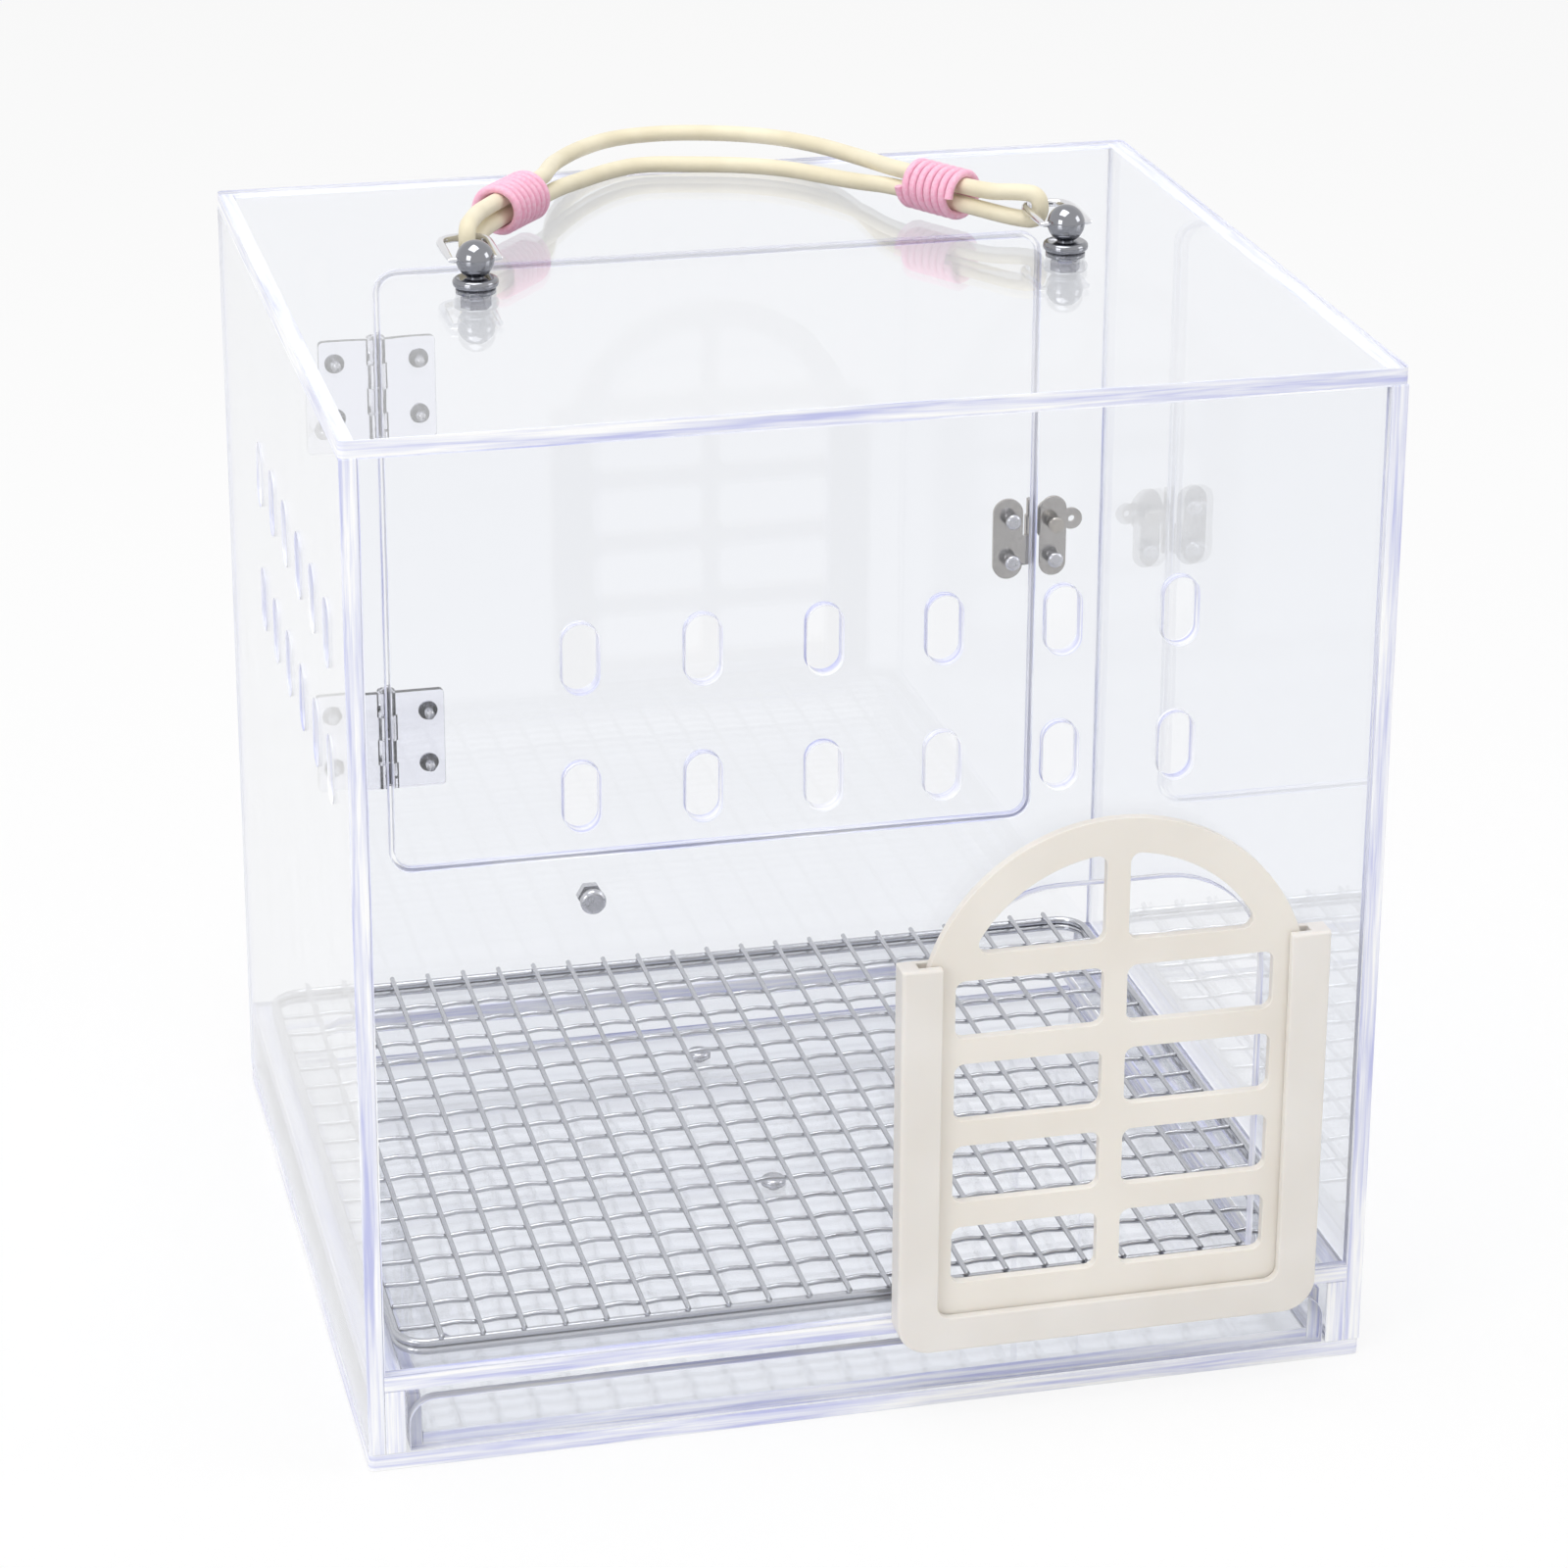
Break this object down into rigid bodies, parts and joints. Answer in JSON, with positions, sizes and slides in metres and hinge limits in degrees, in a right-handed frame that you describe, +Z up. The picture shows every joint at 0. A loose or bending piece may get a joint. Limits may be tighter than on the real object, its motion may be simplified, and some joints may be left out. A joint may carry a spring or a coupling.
{
  "type": "bird travel carrier",
  "caption": "Clear box carrier for a small bird: sliding front gate, rear door with hasp, wire mesh floor over a litter drawer, slotted walls and a rope handle.",
  "frame": {"origin": "middle of the base's underside", "axes": "+X to the right as the gate is faced, +Y to the back door, +Z up"},
  "size_m": [0.3, 0.2927, 0.3282],
  "materials": {
    "clear_acrylic": "clear polished acrylic sheet with a faint lavender tint at its edges",
    "clear_hinge": "clear moulded plastic, glossy",
    "dark_steel_pin": "plain drawn steel pin",
    "steel_screws": "bright plated steel",
    "nickel_hasp": "stamped nickel-plated steel, satin",
    "ivory_plastic": "moulded ivory plastic, soft gloss",
    "stainless_wire": "drawn stainless wire, bright",
    "chrome": "polished chrome plate",
    "ivory_rope": "smooth round sheathed rope, matt",
    "pink_cord": "flat-lying pink whipping cord, matt"
  },
  "bodies": {
    "case": {"base_panel": "clear_acrylic", "left_side_panel": "clear_acrylic", "right_side_panel": "clear_acrylic", "top_panel": "clear_acrylic", "front_panel": "clear_acrylic", "back_panel": "clear_acrylic", "floor_plate": "clear_acrylic", "left_floor_rail": "clear_acrylic", "right_floor_rail": "clear_acrylic", "gate_channel": "ivory_plastic", "upper_hinge_frame_leaf": "clear_hinge", "lower_hinge_frame_leaf": "clear_hinge", "upper_hinge_pin": "dark_steel_pin", "lower_hinge_pin": "dark_steel_pin", "hinge_frame_screws": "steel_screws", "hasp_frame_plate": "nickel_hasp", "hasp_frame_screw": "steel_screws", "left_ball_stud": "chrome", "right_ball_stud": "chrome", "stud_washers": "chrome", "stud_nuts": "steel_screws", "perch_screw": "steel_screws", "perch_nut": "steel_screws"},
    "door": {"back_door": "clear_acrylic", "upper_hinge_door_leaf": "clear_hinge", "lower_hinge_door_leaf": "clear_hinge", "hinge_door_screws": "steel_screws", "hasp_door_plate": "nickel_hasp", "hasp_door_screws": "steel_screws", "hasp_pin": "nickel_hasp"},
    "hasp_flap": {"hasp_flap": "nickel_hasp"},
    "staple": {"turn_staple": "nickel_hasp"},
    "gate": {"gate_grille": "ivory_plastic"},
    "drawer": {"drawer_floor": "clear_acrylic", "drawer_front": "clear_acrylic", "drawer_back": "clear_acrylic", "drawer_left_wall": "clear_acrylic", "drawer_right_wall": "clear_acrylic", "drawer_screws": "steel_screws"},
    "mesh": {"mesh_frame": "stainless_wire", "mesh_wires_along": "stainless_wire", "mesh_wires_across": "stainless_wire"},
    "handle": {"left_shackle": "chrome", "right_shackle": "chrome", "shackle_pins": "chrome", "handle_cord": "ivory_rope", "left_whipping": "pink_cord", "right_whipping": "pink_cord"}
  },
  "joints": [
    {"name": "door_hinge", "type": "hinge", "parent": "case", "child": "door", "pos_m": [-0.1006, 0.1354, 0.1785], "axis": [0, 0, 1], "range_deg": [0, 150]},
    {"name": "hasp_flap_hinge", "type": "hinge", "parent": "door", "child": "hasp_flap", "pos_m": [0.1206, 0.1342, 0.178], "axis": [0, 0, 1], "range_deg": [0, 165]},
    {"name": "staple_turn", "type": "hinge", "parent": "case", "child": "staple", "pos_m": [0.1281, 0.132, 0.1792], "axis": [0, 1, 0], "range_deg": [0, 90]},
    {"name": "gate_slide", "type": "slide", "parent": "case", "child": "gate", "axis": [0, 0, 1], "range_m": [0, 0.1]},
    {"name": "drawer_slide", "type": "slide", "parent": "case", "child": "drawer", "axis": [0, -1, 0], "range_m": [0, 0.2]},
    {"name": "mesh_lift", "type": "slide", "parent": "case", "child": "mesh", "axis": [0, 0, 1], "range_m": [0, 0.1]},
    {"name": "handle_swing", "type": "hinge", "parent": "case", "child": "handle", "pos_m": [0, 0, 0.32], "axis": [1, 0, 0], "range_deg": [0, 178]}
  ]
}
